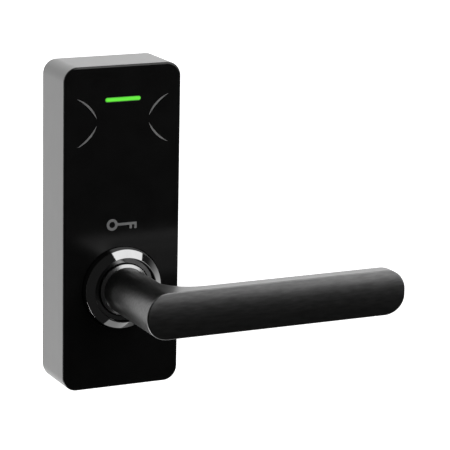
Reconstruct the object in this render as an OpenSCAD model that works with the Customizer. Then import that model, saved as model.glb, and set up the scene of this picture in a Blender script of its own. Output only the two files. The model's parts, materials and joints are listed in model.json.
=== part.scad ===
// Electronic door trim: a slim case with a contactless reader, a lever handle and a motor clutch.
// Built in a door frame: x to the viewer's right, y up, z out of the door, with the origin where
// the lever's axis meets the door. to_row() turns it so that up is +Z and out of the door is -Y.

/* [Case] */
// Width of the case
case_w = 59; // [59:0.5:64]
// Height of the case
case_h = 156; // [155:1:160]
// Depth of the case, from the door to its front face
case_d = 27.6; // [27.6:0.1:30]
// Radius of the case's four corners
corner_r = 7; // [6:0.5:9]
// Thickness of the metal housing's walls
wall = 2.4; // [2.2:0.1:2.6]
// Height of the lever's axis above the case's lower edge
axis_h = 48.8; // [48:0.1:50]

/* [Front cover] */
// Height of the black band that the cover shows round its sides
cover_edge = 1.2; // [1.2:0.1:1.5]
// Radius that breaks the cover's front edge
cover_round = 1; // [0.6:0.1:1.1]
// Length of the status light
light_l = 18; // [14:0.5:22]
// Height of the status light
light_h = 2.1; // [2:0.1:3]
// Distance from the case's top edge to the status light's middle
light_drop = 16.2; // [15.3:0.1:17]
// Distance from the case's top edge to the middle of the reader's marks
marks_drop = 26.4; // [25:0.1:30]

/* [Lever] */
// Radius of the lever's neck, and half the grip's height
neck_r = 11.1; // [10.8:0.1:11.4]
// Distance from the lever's axis to the tip of the grip
lever_reach = 122.5; // [110:0.5:140]
// Distance from the case's front face to the front of the grip
lever_out = 56.2; // [51:0.1:62]
// Thickness of the grip
grip_t = 14.4; // [13:0.2:16]
// Height of the crown on the grip's front
crown_h = 1.4; // [1:0.1:2]

/* [Rose and drive] */
// Outer radius of the rose ring
rose_r = 20; // [19.5:0.1:20.5]
// Height of the rose ring above the front face
rose_out = 5.6; // [5.2:0.1:6]
// Side of the square spindle
spindle_a = 8; // [7:1:8]
// Length of the spindle behind the door face
spindle_l = 45; // [35:1:60]
// Travel that takes the clutch ring out of the drive hub
clutch_travel = 2; // [1.9:0.05:2]

/* [Fixing] */
// Distance between the two lower fixing posts
post_pitch = 38; // [36:0.5:42]
// Radius of a fixing post
post_r = 4; // [3.5:0.1:4.2]
// Length of a fixing post behind the door face
post_l = 13; // [12:1:30]

/* [Hidden] */
$fn = 72;

eps = 0.5;                 // how far a cutting tool runs past the face that it cuts
running = 0.05;            // radial clearance of a shaft that turns in its bore
gap = 0.3;                 // clearance between the housing and what it covers

// Levels along the lever's axis, from the door outwards
gasket_t = 1;
plate_t = 3;
web_z = 22.4;              // back of the housing's front web
web_t = 2;
seat_z = web_z + web_t;    // where the front cover and the rose ring stand
band_z = case_d - cover_edge;

case_y0 = -axis_h;
case_y1 = case_h - axis_h;
case_cy = (case_y0 + case_y1) / 2;
light_y = case_y1 - light_drop;
marks_y = case_y1 - marks_drop;

// Lever and rose
shank_r = 7;
shank_flat = 5.5;          // half the width across the shank's two drive flats
stub_r = 10.05;
collar_r = 12.5;
collar_z = 25.6;
neck_z = case_d + 5.6;
collar_edge_z = case_d + 4.6;
rose_bore_r = 13;
lip_r = 15.6;              // radius of the rose ring's inner lip
bush_r = 12;
grip_front_z = case_d + lever_out;
grip_back_z = grip_front_z - grip_t;
grip_end_r = 9.6;          // corner radius at the grip's tip, seen from the front
grip_back_r = 8;           // rounding of the grip's back edges
grip_fillet_r = 11;        // inner corner between the neck and the grip
crown_r = (neck_r * neck_r + crown_h * crown_h) / (2 * crown_h);

// Clutch
hub_z = 3.4;
hub_flange_r = 12;
hub_flange_t = 3;
hex_af = 12;
hex_top_z = 12.1;
ring_z = hub_z + hub_flange_t + clutch_travel + 0.2;
ring_body_t = 3.6;
groove_z = ring_z + 0.9;
groove_t = 1.6;
groove_r = 10;
dog_count = 4;
dog_w = 5;
dog_r0 = 8.6;
dog_r1 = 11.6;
dog_l = clutch_travel - 0.2;
drive_z = ring_z + ring_body_t + 0.4;
drive_t = 5;
drive_r = 13;
grub_r = 1.5;
grub_z = 15.9;
motor_y = 24;
motor_r = 5;
motor_z = 13.2;
motor_l = 7.4;
motor_boss = 0.8;
screw_r = 1.5;
guide_x = 9;
guide_r = 1.2;

// Return spring
spring_wire_r = 0.7;
spring_r = 11.3;
spring_z = 18.7;
spring_pitch = 1.5;
spring_turns = 1.9;

// Fixing
top_post_y = case_y1 - 19;
post_bore_r = 2.1;         // core radius of an M5 thread
post_thread_l = post_l - 4;
rivet_r = 2.5;
post_flange_r = 5.2;
post_flange_t = 0.8;
case_screw_z = 9;

// Reader board and its parts
board_w = 48;
board_h = 56;
board_t = 1.6;
board_z = web_z - board_t;
board_cy = case_y1 - 36.5;
window_w = 42;
window_h = 48;
board_hole_x = 21.5;
board_hole_y = 26;
plug_y = board_cy - 26.5;  // where the motor's wires meet their socket

// Batteries
cell_r = 5.25;
cell_l = 44.5;
cell_pitch = 11.2;
tray_wall = 1.2;
tray_depth = 8;
contact_t = 0.4;
contact_spring_l = 4.2;
cell_z = plate_t + tray_wall + 0.05 + cell_r;
tray_w = 2 * cell_pitch + 2 * cell_r + 2 * tray_wall + 0.6;
tray_y0 = board_cy - 27.9;
contact_y0 = tray_y0 + tray_wall + contact_t;
contact_y1 = contact_y0 + cell_l + contact_spring_l;
tray_y1 = contact_y1 + contact_t + tray_wall;

cover_screw_xy = [[-22, -40], [22, -40], [-22, 33], [22, 33], [-18, case_y1 - 5.5], [18, case_y1 - 5.5]];
rose_screw_x = 17.2;
mark_depth = 0.3;
mark_r = 14.8;             // radius of a reader mark's arc
mark_half = 7.1;           // half the distance between its tips, before they are blunted
mark_t = 0.95;             // its thickness in the middle
key_y = 31;
steel = "silver";
plastic = [0.1, 0.1, 0.1];

// Turns the door frame into the part's own frame
module to_row() {
    rotate([90, 0, 0]) children();
}

// Flat rounded rectangle, centred on the origin
module rounded_rect(w, h, r) {
    square([w - 2 * r, h], center = true);
    square([w, h - 2 * r], center = true);
    for (x = [-1, 1], y = [-1, 1])
        translate([x * (w / 2 - r), y * (h / 2 - r)]) circle(r);
}

// Bar with round ends, centred on the origin
module stadium(l, h) {
    square([l - h, h], center = true);
    for (x = [-1, 1]) translate([x * (l - h) / 2, 0]) circle(h / 2);
}

// Slab with the case's outline drawn in by inset, from level z0 to level z1
module case_slab(inset, z0, z1) {
    translate([0, case_cy, z0])
        linear_extrude(z1 - z0)
            rounded_rect(case_w - 2 * inset, case_h - 2 * inset, corner_r - inset);
}

// Closed band that follows the case's outline
module case_band(inset, width, z0, z1) {
    difference() {
        case_slab(inset, z0, z1);
        case_slab(inset + width, z0 - eps, z1 + eps);
    }
}

// Section through an edge strip of the cover, rounded at its outer top corner
module edge_section(a, t, e) {
    square([a - e, t]);
    square([a, t - e]);
    translate([a - e, t - e]) intersection() {
        circle(e);
        square(e);
    }
}

// Slab of the size w, h, t with corner radius r, whose top edge is rounded by e
module rounded_slab(w, h, r, t, e) {
    translate([r - w / 2, r - h / 2, 0]) cube([w - 2 * r, h - 2 * r, t]);
    for (side = [0:3]) {
        across = side % 2 == 0 ? w : h;
        along = side % 2 == 0 ? h : w;
        rotate(90 * side) translate([across / 2 - r, along / 2 - r, 0]) {
            rotate([90, 0, 0]) linear_extrude(along - 2 * r) edge_section(r, t, e);
            rotate_extrude(angle = 90) edge_section(r, t, e);
        }
    }
}

// Tube swept along a list of points, with the given radius and number of sides.
// up keeps the section from twisting, and is never parallel to the path.
function unit(v) = v / norm(v);
function tangent(p, i) = unit(p[min(i + 1, len(p) - 1)] - p[max(i - 1, 0)]);
function sweep_ring(p, i, r, sides, up) =
    let (t = tangent(p, i), u = unit(cross(t, up)), v = cross(u, t))
    [for (s = [0:sides - 1]) p[i] + r * (cos(360 * s / sides) * u + sin(360 * s / sides) * v)];
module swept_tube(path, r, sides, up) {
    n = len(path);
    points = [for (i = [0:n - 1]) each sweep_ring(path, i, r, sides, up)];
    walls = [for (i = [0:n - 2], s = [0:sides - 1])
        let (a = i * sides, b = a + sides, q = (s + 1) % sides) [a + s, a + q, b + q, b + s]];
    first = [for (s = [sides - 1:-1:0]) s];
    last = [for (s = [0:sides - 1]) (n - 1) * sides + s];
    polyhedron(points, concat([first], walls, [last]), convexity = 6);
}
// Points of a coil about the z axis that starts at level z0
function coil_path(r, z0, pitch, turns, steps) =
    [for (i = [0:round(turns * steps)])
        let (a = 360 * i / steps) [r * cos(a), r * sin(a), z0 + pitch * i / steps]];

// Machine screw along +z with its head below level 0: head and shank, and a hexagon socket
module socket_screw(head_r, head_t, shank_r, shank_l) {
    difference() {
        union() {
            translate([0, 0, -head_t]) cylinder(r = head_r, h = head_t);
            cylinder(r = shank_r, h = shank_l);
        }
        translate([0, 0, -head_t - eps]) cylinder(r = shank_r * 0.8, h = eps + head_t * 0.6, $fn = 6);
    }
}

// Steel plate on the door, with the bearing of the driven hub and the tabs that hold the case
module mounting_plate() {
    tab_y = case_y0 + wall + gap;
    hook_y = case_y1 - wall - gap;
    color(steel) difference() {
        union() {
            case_slab(wall + gap, 0, plate_t);
            translate([-9, tab_y, 0]) cube([18, 3.4, case_screw_z + 5]);
            for (x = [-15, 15]) {
                translate([x - 4, hook_y - 2, 0]) cube([8, 2, 8.1]);
                translate([x - 4, hook_y - 2, 6.1]) cube([8, 3.3, 2]);
            }
        }
        translate([0, 0, -eps]) cylinder(r = 8 + running, h = plate_t + 2 * eps);
        translate([0, motor_y, 1.2]) cylinder(r = screw_r + running, h = plate_t);
        translate([guide_x, motor_y, 1.2]) cylinder(r = guide_r, h = plate_t);
        for (p = [[-post_pitch / 2, 0], [post_pitch / 2, 0], [0, top_post_y]])
            translate([p[0], p[1], -eps]) {
                cylinder(r = rivet_r, h = plate_t + 2 * eps);
                cylinder(r = post_flange_r + running, h = post_flange_t + eps);
            }
        translate([0, tab_y - eps, case_screw_z])
            rotate([-90, 0, 0]) cylinder(r = 2, h = 3.4 + 2 * eps);
    }
}

// Rubber band between the housing's back edge and the door
module door_gasket() {
    color([0.05, 0.05, 0.05]) case_band(gap, wall - gap, 0, gasket_t);
}

// Threaded posts that stand into the door, riveted to the mounting plate with a flange sunk in its back
module fixing_posts() {
    color(steel) for (p = [[-post_pitch / 2, 0], [post_pitch / 2, 0], [0, top_post_y]])
        translate([p[0], p[1], 0]) difference() {
            union() {
                translate([0, 0, -post_l]) cylinder(r = post_r, h = post_l);
                cylinder(r = post_flange_r, h = post_flange_t);
                cylinder(r = rivet_r, h = plate_t);
                translate([0, 0, plate_t]) cylinder(r = rivet_r + 1, h = 0.8);
            }
            translate([0, 0, -post_l - eps]) cylinder(r = post_bore_r, h = post_thread_l + eps);
        }
}

// Die-cast case: four walls, and a front web with the reader window, the rose's seat and a
// peg for the return spring
module housing() {
    color([0.62, 0.62, 0.62]) difference() {
        case_slab(0, gasket_t, band_z);
        difference() {
            case_slab(wall, gasket_t - eps, web_z);
            translate([13.2, -4.05, 20.4]) cylinder(r = 1, h = web_z - 20.4 + eps);
        }
        case_slab(wall, seat_z, band_z + eps);
        case_band(0.7, 1, band_z - 0.6, band_z + eps);
        translate([-window_w / 2, board_cy - window_h / 2, web_z - eps])
            cube([window_w, window_h, web_t + 2 * eps]);
        translate([0, 0, web_z - eps]) cylinder(r = bush_r, h = web_t + 2 * eps);
        for (x = [-rose_screw_x, rose_screw_x]) translate([x, 0, web_z - eps])
            cylinder(r = 1.35, h = web_t + 2 * eps);
        for (p = cover_screw_xy) translate([p[0], p[1], web_z - eps])
            cylinder(r = 1.4, h = web_t + 2 * eps);
        for (x = [-1, 1], y = [-1, 1])
            translate([x * board_hole_x, board_cy + y * board_hole_y, web_z - eps])
                cylinder(r = 1.1, h = eps + 1.7);
        for (x = [-15, 15]) translate([x - 4.3, case_y1 - wall - eps, 5.8])
            cube([8.6, 1.5 + eps, 2.6]);
        translate([0, case_y0 - eps, case_screw_z]) rotate([-90, 0, 0]) {
            cylinder(r = 2.1, h = wall + 2 * eps);
            cylinder(r1 = 4.4, r2 = 2.1, h = 2.3);
        }
    }
}

// One thin crescent of the reader's marks: what a disc leaves outside a flatter arc between its tips
module crescent() {
    tip_x = sqrt(mark_r * mark_r - mark_half * mark_half);
    rise = mark_r - mark_t - tip_x;
    flat_r = (mark_half * mark_half + rise * rise) / (2 * rise);
    intersection() {
        difference() {
            circle(mark_r, $fn = 180);
            translate([mark_r - mark_t - flat_r, 0]) circle(flat_r, $fn = 360);
        }
        square([2 * mark_r, 2 * mark_half - 0.5], center = true);
    }
}

// The four crescents, two on each side of the middle, that show where to hold a card
module marks_outline() {
    chord_x = sqrt(mark_r * mark_r - mark_half * mark_half);
    for (side = [0, 1], half = [0, 1])
        mirror([side, 0]) mirror([0, half])
            translate([-18.15, 6.5]) rotate(45) translate([-chord_x, 0]) crescent();
}

// Plain key: a bow, a shaft and two bits
module key_outline() {
    difference() {
        translate([-5, 0]) circle(2.8);
        translate([-5, 0]) circle(1.5);
    }
    translate([-2.5, -0.6]) square([10, 1.2]);
    for (x = [3.9, 6.3]) translate([x, -2.5]) square([1.2, 2]);
}

// Black cover: the band that shows, and a spigot that centres it in the housing
module front_cover() {
    color(plastic) difference() {
        union() {
            translate([0, case_cy, band_z])
                rounded_slab(case_w, case_h, corner_r, cover_edge, cover_round);
            case_slab(wall + 0.15, seat_z, band_z);
        }
        translate([0, 0, seat_z - eps]) cylinder(r = rose_r + 0.2, h = case_d);
        translate([-window_w / 2, board_cy - window_h / 2, seat_z - eps])
            cube([window_w, window_h, 1.4 + eps]);
        translate([0, light_y, seat_z - eps]) linear_extrude(case_d) stadium(light_l, light_h);
        translate([0, marks_y, case_d - mark_depth]) linear_extrude(eps + mark_depth) marks_outline();
        translate([0, key_y, case_d - mark_depth]) linear_extrude(eps + mark_depth) key_outline();
        for (p = cover_screw_xy) translate([p[0], p[1], seat_z - eps])
            cylinder(r = 1.2, h = eps + 1.8);
    }
}

// Sealing cord in the groove round the housing's front edge
module cover_seal() {
    color([0.05, 0.05, 0.05]) case_band(0.8, 0.8, band_z - 0.55, band_z);
}

// Screws that hold the cover from behind
module cover_screws() {
    color(steel) for (p = cover_screw_xy)
        translate([p[0], p[1], web_z]) socket_screw(2.2, 1.5, 1.2, 3.6);
}

// Countersunk security screw in the case's lower wall
module case_screw() {
    color(steel) translate([0, case_y0, case_screw_z]) rotate([-90, 0, 0]) difference() {
        union() {
            translate([0, 0, 0.1]) cylinder(r1 = 3.7, r2 = 2, h = 1.7);
            cylinder(r = 2, h = 7);
        }
        translate([0, 0, -eps]) cylinder(r = 1.3, h = eps + 1.4, $fn = 6);
    }
}

// Light guide of the status light, with a flange that keeps it behind the cover
module light_pipe() {
    pocket_z = seat_z + 1.4;
    color("lime") translate([0, light_y, 0]) {
        translate([0, 0, 23.1]) linear_extrude(pocket_z - 23.1) stadium(light_l + 2.4, light_h + 2.4);
        translate([0, 0, pocket_z]) linear_extrude(case_d - pocket_z) stadium(light_l, light_h);
    }
}

// Pale inlaid crescents in the cover's face
module reader_marks() {
    color([0.6, 0.6, 0.6]) translate([0, marks_y, case_d - mark_depth])
        linear_extrude(mark_depth) marks_outline();
}

// Pale inlaid key in the cover's face
module key_mark() {
    color([0.6, 0.6, 0.6]) translate([0, key_y, case_d - mark_depth])
        linear_extrude(mark_depth) key_outline();
}

// Ring round the lever's neck: a drafted side, a wide polished bevel and a sunk floor
module rose_ring() {
    top_z = case_d + rose_out;
    rim_z = case_d + 2.75;
    draft = 0.8;
    floor_z = top_z - 2.2;     // level of the sunk floor
    color([0.2, 0.2, 0.2]) difference() {
        rotate_extrude() polygon([
            [rose_bore_r, collar_z - 0.2], [14.2, collar_z - 0.2], [14.2, seat_z],
            [rose_r, seat_z], [rose_r, case_d], [rose_r - draft, rim_z],
            [lip_r + 0.2, top_z], [lip_r - 0.2, top_z],
            [lip_r - 0.6, floor_z], [rose_bore_r, floor_z]]);
        for (x = [-rose_screw_x, rose_screw_x])
            translate([x, 0, seat_z - eps]) cylinder(r = 1.2, h = 3 + eps);
    }
}

// Two screws that hold the rose ring to the housing's web
module rose_screws() {
    color(steel) for (x = [-rose_screw_x, rose_screw_x])
        translate([x, 0, web_z]) socket_screw(2.2, 1.5, 1.2, 4.7);
}

// Flanged polymer bush in the web, in which the lever's shank turns
module bearing_bush() {
    color("ivory") difference() {
        union() {
            translate([0, 0, 18.8]) cylinder(r = 9.6, h = web_z - 18.8);
            translate([0, 0, web_z]) cylinder(r = bush_r, h = web_t);
            translate([0, 0, seat_z]) cylinder(r = 14, h = 0.8);
        }
        cylinder(r = shank_r + running, h = seat_z + 2);
    }
}

// Washer between the bush and the lever's collar
module thrust_washer() {
    color("white") translate([0, 0, 25.22]) difference() {
        cylinder(r = 12.2, h = 0.33);
        translate([0, 0, -eps]) cylinder(r = shank_r + 0.3, h = 2 * eps + 0.33);
    }
}

// Grip seen from the front: round over the neck, with a blunter round at the tip
module grip_outline() {
    circle(neck_r);
    translate([0, -neck_r]) square([lever_reach - grip_end_r, 2 * neck_r]);
    translate([lever_reach - grip_end_r, grip_end_r - neck_r])
        square([grip_end_r, 2 * (neck_r - grip_end_r)]);
    for (y = [-1, 1])
        translate([lever_reach - grip_end_r, y * (neck_r - grip_end_r)]) circle(grip_end_r);
}

// Space in front of the door that the grip's crowned front leaves to the lever
module below_crown() {
    translate([-2 * neck_r, 0, grip_front_z - crown_r])
        rotate([0, 90, 0]) cylinder(r = crown_r, h = lever_reach + 4 * neck_r, $fn = 180);
}

// Section of the grip across its length: flat above and below, with a rounded back
module grip_section() {
    low = grip_back_r - neck_r;
    translate([-neck_r, grip_back_z + grip_back_r]) square([2 * neck_r, grip_t]);
    translate([low, grip_back_z]) square([-2 * low, grip_t]);
    for (y = [low, -low]) translate([y, grip_back_z + grip_back_r]) circle(grip_back_r);
}

// Quarter bend of the neck's own section into the grip
module neck_bend() {
    bend_r = neck_r + grip_fillet_r;
    translate([bend_r, 0, grip_back_z - grip_fillet_r]) rotate([90, 0, 0]) rotate(90)
        rotate_extrude(angle = 90) translate([bend_r, 0]) circle(neck_r);
}

// Lever: shank with drive flats, stub under the collar, neck and grip
module lever() {
    color([0.09, 0.09, 0.09]) {
        difference() {
            translate([0, 0, 12.8]) cylinder(r = shank_r, h = collar_z - 12.8);
            for (x = [-1, 1]) translate([x * (shank_flat + 5), 0, 12.8])
                cube([10, 20, 2 * (drive_z + drive_t - 12.8)], center = true);
        }
        translate([0, 0, collar_z]) cylinder(r = stub_r, h = neck_z - collar_z);
        intersection() {
            union() {
                translate([0, 0, neck_z]) cylinder(r = neck_r, h = grip_front_z - neck_z);
                neck_bend();
                intersection() {
                    translate([0, 0, grip_back_z]) linear_extrude(grip_t) grip_outline();
                    rotate([90, 0, 90]) linear_extrude(lever_reach) grip_section();
                }
            }
            below_crown();
        }
    }
}

// Polished sleeve at the foot of the neck, with a bevelled front edge
module lever_collar() {
    color([0.5, 0.5, 0.5]) rotate_extrude() polygon([
        [stub_r, collar_z], [collar_r, collar_z], [collar_r, collar_edge_z],
        [neck_r, neck_z], [stub_r, neck_z]]);
}

// Hub on the shank's flats, with pockets for the clutch ring's dogs and a lug for the spring
module drive_hub() {
    color("goldenrod") difference() {
        union() {
            translate([0, 0, drive_z]) cylinder(r = drive_r, h = drive_t);
            translate([9.35, -6.5, drive_z + drive_t - eps]) cube([1.2, 2, 1.5 + eps]);
        }
        intersection() {
            cylinder(r = shank_r + running, h = web_z);
            translate([0, 0, drive_z]) cube([2 * (shank_flat + running), 20, web_z], center = true);
        }
        for (k = [0:dog_count - 1]) rotate(45 + 90 * k)
            translate([dog_r0 - 0.3, -dog_w / 2 - 0.15, drive_z - eps])
                cube([dog_r1 - dog_r0 + 0.6, dog_w + 0.3, eps + dog_l]);
        translate([0, 0, grub_z]) rotate([0, 90, 0]) cylinder(r = grub_r, h = drive_r + eps);
    }
}

// Grub screw that keeps the hub on the shank
module hub_grub_screw() {
    color(steel) translate([shank_flat + running, 0, grub_z]) rotate([0, 90, 0]) difference() {
        cylinder(r = grub_r, h = 6);
        translate([0, 0, 4]) cylinder(r = 0.8, h = 3, $fn = 6);
    }
}

// Torsion spring round the bush, with two straight legs
module return_spring() {
    turn = coil_path(spring_r, spring_z, spring_pitch, spring_turns, 24);
    last = turn[len(turn) - 1];
    foot = [[spring_r, -6, spring_z], [spring_r, -3, spring_z]];
    tail = last + 6 * unit([-last[1], last[0], 0]);
    color(steel) swept_tube(concat(foot, turn, [tail]), spring_wire_r, 8, [0, 0, 1]);
}

// Sliding ring of the clutch: hexagon bore, fork groove and four dogs
module clutch_ring() {
    color("darkgray") difference() {
        union() {
            rotate_extrude() polygon([
                [0, ring_z], [hub_flange_r, ring_z], [hub_flange_r, groove_z],
                [groove_r, groove_z], [groove_r, groove_z + groove_t],
                [hub_flange_r, groove_z + groove_t], [hub_flange_r, ring_z + ring_body_t],
                [0, ring_z + ring_body_t]]);
            for (k = [0:dog_count - 1]) rotate(45 + 90 * k)
                translate([dog_r0, -dog_w / 2, ring_z + ring_body_t - 0.2])
                    cube([dog_r1 - dog_r0, dog_w, dog_l + 0.2]);
        }
        cylinder(r = (hex_af + 0.2) / sqrt(3), h = 20, $fn = 6);
    }
}

// Hub that drives the spindle: journal in the mounting plate, flange and hexagon
module driven_hub() {
    socket_a = spindle_a + 0.1;
    color("darkkhaki") difference() {
        union() {
            translate([0, 0, 0.3]) cylinder(r = 8, h = hub_z - 0.3);
            translate([0, 0, hub_z]) cylinder(r = hub_flange_r, h = hub_flange_t);
            translate([0, 0, hub_z]) cylinder(r = hex_af / sqrt(3), h = hex_top_z - hub_z, $fn = 6);
        }
        translate([-socket_a / 2, -socket_a / 2, -eps]) cube([socket_a, socket_a, 7.5]);
    }
}

// Square spindle that turns the lock inside the door
module square_spindle() {
    bevel = 0.8;
    color(steel) intersection() {
        translate([-spindle_a / 2, -spindle_a / 2, -spindle_l])
            cube([spindle_a, spindle_a, spindle_l + 6.9]);
        union() {
            translate([0, 0, bevel - spindle_l]) cylinder(r = spindle_a, h = spindle_l + 7);
            translate([0, 0, -spindle_l])
                cylinder(r1 = spindle_a / sqrt(2) - bevel, r2 = spindle_a / sqrt(2), h = bevel);
        }
    }
}

// Fork that moves the clutch ring along its axis, with a threaded boss and a guide eye
module clutch_fork() {
    plate_z = groove_z + 0.1;
    color("orange") difference() {
        union() {
            translate([0, 0, plate_z]) linear_extrude(1.4) difference() {
                union() {
                    circle(14.5);
                    translate([-4, 0]) square([8, motor_y]);
                    translate([0, motor_y - 2.6]) square([guide_x, 5.2]);
                    translate([guide_x, motor_y]) circle(2.6);
                }
                circle(groove_r + 0.3);
                translate([-15, -15]) square([30, 13]);
            }
            translate([0, motor_y, ring_z]) cylinder(r = 4, h = 3.8);
        }
        translate([0, motor_y, ring_z - eps]) cylinder(r = screw_r + running, h = 3.8 + 2 * eps);
        translate([guide_x, motor_y, ring_z - eps])
            cylinder(r = guide_r + running, h = 3.8 + 2 * eps);
    }
}

// Pin that keeps the fork from turning with the screw
module fork_guide_pin() {
    color(steel) translate([guide_x, motor_y, 1.2]) cylinder(r = guide_r, h = 11.6);
}

// Motor shaft and quick thread that move the fork: one turn is the whole travel
module lead_screw() {
    color("gold") translate([0, motor_y, 0]) {
        translate([0, 0, 1.4]) cylinder(r = screw_r, h = motor_z - 0.2 - 1.4);
        translate([0, 0, motor_z - 0.4]) cylinder(r = 0.5, h = 1.6);
    }
}

// Small gear motor that works the clutch
module clutch_motor() {
    color([0.7, 0.7, 0.72]) translate([0, motor_y, 0]) difference() {
        union() {
            translate([0, 0, motor_z]) cylinder(r = motor_r, h = motor_l);
            translate([0, 0, motor_z + motor_l]) cylinder(r = 3, h = motor_boss);
        }
        translate([0, 0, motor_z - eps]) cylinder(r = 0.5 + running, h = eps + 1.6);
    }
}

// Moulded clip that holds the motor under the web
module motor_holder() {
    color(plastic) translate([0, motor_y, 0]) difference() {
        union() {
            translate([0, 0, 14]) cylinder(r = motor_r + 1.4, h = web_z - 14);
            translate([-11, -3.5, web_z - 1.6]) cube([22, 7, 1.6]);
        }
        cylinder(r = motor_r, h = motor_z + motor_l + motor_boss);
        translate([-2, 0, 16]) cube([4, 10, 3.6]);
    }
}

// Two wires from the motor to the board
module motor_leads() {
    for (x = [-1, 1]) color(x < 0 ? "red" : "black")
        swept_tube([[x, 29, 17.8], [x, 31, 17.8], [x * 1.3, 33, 17.6], [x * 2, 35, 17.7],
            [x * 2, plug_y - 6, 18.2], [x * 1.6, plug_y - 4, 18.6], [x, plug_y - 2, 18.8],
            [x, plug_y, 18.8]], 0.45, 8, [0, 0, 1]);
}

// Circuit board behind the reader window
module reader_board() {
    color("darkgreen") translate([0, board_cy, board_z]) difference() {
        linear_extrude(board_t) rounded_rect(board_w, board_h, 2);
        for (x = [-1, 1], y = [-1, 1]) translate([x * board_hole_x, y * board_hole_y, -eps])
            cylinder(r = 1.2, h = board_t + 2 * eps);
    }
}

// Printed antenna: three loops and the bar that joins them
module antenna_coil() {
    color("peru") translate([0, board_cy - 3.6, web_z]) linear_extrude(0.1) {
        for (k = [0:2]) difference() {
            rounded_rect(38 - 3 * k, 36 - 3 * k, 4 - k);
            rounded_rect(36.4 - 3 * k, 34.4 - 3 * k, 3.2 - k);
        }
        translate([-0.5, -17.6]) square([1, 3.6]);
    }
}

// Three small lamps behind the light guide
module status_leds() {
    color("palegreen") for (x = [-6, 0, 6])
        translate([x - 1.5, light_y - 0.8, web_z]) cube([3, 1.6, 0.6]);
}

// Main processor on the back of the board
module processor() {
    color(plastic) translate([-17, board_cy - 12, board_z - 1]) cube([9, 9, 1]);
}

// Shielded short-range radio on the back of the board
module radio_module() {
    color(steel) translate([4, board_cy + 9, board_z - 2]) cube([16, 12, 2]);
}

// Sounder on the back of the board
module buzzer() {
    color(plastic) translate([13, board_cy - 8, board_z - 3]) difference() {
        cylinder(r = 4.8, h = 3);
        translate([0, 0, -eps]) cylinder(r = 0.8, h = 1 + eps);
    }
}

// Plug sockets for the motor and the batteries
module board_connectors() {
    color("ivory") {
        translate([-4, plug_y, board_z - 3]) cube([8, 4, 3]);
        translate([-20, plug_y + 2, board_z - 3]) cube([6, 5, 3]);
    }
}

// Four screws that hold the board to the web
module board_screws() {
    color(steel) for (x = [-1, 1], y = [-1, 1])
        translate([x * board_hole_x, board_cy + y * board_hole_y, board_z])
            socket_screw(2, 1.4, 1.1, 3.2);
}

// Open tray for three cells, clipped to the mounting plate
module battery_tray() {
    color([0.15, 0.15, 0.15]) difference() {
        translate([-tray_w / 2, tray_y0, plate_t]) cube([tray_w, tray_y1 - tray_y0, tray_depth]);
        translate([tray_wall - tray_w / 2, tray_y0 + tray_wall, plate_t + tray_wall])
            cube([tray_w - 2 * tray_wall, tray_y1 - tray_y0 - 2 * tray_wall, tray_depth]);
        translate([0, top_post_y, plate_t - eps]) cylinder(r = rivet_r + 1.3, h = eps + 0.9);
    }
}

// Three round cells side by side, the middle one turned over
module batteries() {
    color("slategray") for (k = [-1:1])
        translate([k * cell_pitch, k == 0 ? contact_y1 - cell_l : contact_y0 + cell_l, cell_z])
            rotate([k == 0 ? -90 : 90, 0, 0]) {
                cylinder(r = cell_r, h = cell_l - 1);
                translate([0, 0, cell_l - 1]) cylinder(r = 1.9, h = 1);
            }
}

// Contact plates against the tray's end walls
module battery_contacts() {
    color(steel) for (k = [-1:1], y = [contact_y0 - contact_t, contact_y1])
        translate([k * cell_pitch - 3.6, y, plate_t + tray_wall]) cube([7.2, contact_t, 8.4]);
}

// Coil springs that press the cells against the opposite contacts
module contact_springs() {
    wire_r = 0.25;
    turns = 2;
    pitch = (contact_spring_l - 2 * wire_r - 0.1) / turns;
    color(steel) for (k = [-1:1])
        translate([k * cell_pitch, k == 0 ? contact_y0 : contact_y1 - contact_spring_l, cell_z])
            rotate([-90, 0, 0])
                swept_tube(coil_path(2.6, wire_r + 0.05, pitch, turns, 12), wire_r, 6, [0, 0, 1]);
}

// Two wires from the battery tray's rim to their socket on the board
module battery_leads() {
    rim_z = plate_t + tray_depth;
    socket_z = board_z - 3;
    rim_x = (tray_wall - tray_w) / 2;
    for (k = [0, 1]) {
        y = plug_y + 3.5 + 2 * k;
        color(k == 0 ? "red" : "black")
            swept_tube([[rim_x, y, rim_z], [rim_x, y, rim_z + 1.5], [rim_x - 1, y, rim_z + 3],
                [rim_x - 1, y, socket_z - 2.4], [rim_x, y, socket_z - 1], [rim_x, y, socket_z]],
                0.45, 8, [0, 1, 0]);
    }
}

to_row() mounting_plate();
to_row() door_gasket();
to_row() fixing_posts();
to_row() housing();
to_row() front_cover();
to_row() cover_seal();
to_row() cover_screws();
to_row() case_screw();
to_row() light_pipe();
to_row() reader_marks();
to_row() key_mark();
to_row() rose_ring();
to_row() rose_screws();
to_row() bearing_bush();
to_row() thrust_washer();
to_row() lever();
to_row() lever_collar();
to_row() drive_hub();
to_row() hub_grub_screw();
to_row() return_spring();
to_row() clutch_ring();
to_row() driven_hub();
to_row() square_spindle();
to_row() clutch_fork();
to_row() fork_guide_pin();
to_row() lead_screw();
to_row() clutch_motor();
to_row() motor_holder();
to_row() motor_leads();
to_row() reader_board();
to_row() antenna_coil();
to_row() status_leds();
to_row() processor();
to_row() radio_module();
to_row() buzzer();
to_row() board_connectors();
to_row() board_screws();
to_row() battery_tray();
to_row() batteries();
to_row() battery_contacts();
to_row() contact_springs();
to_row() battery_leads();
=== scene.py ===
"""Looks of an electronic lever lock's outside trim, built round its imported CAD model.

Shapes are written in millimetres in a door frame: x to the viewer's right, y up, z out of the door,
with the origin where the lever's axis meets the door. to_row() turns them into the row frame in metres.
"""

import json
import math

import bmesh
import bpy
from mathutils import Matrix, Vector
from mathutils.geometry import delaunay_2d_cdt


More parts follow.
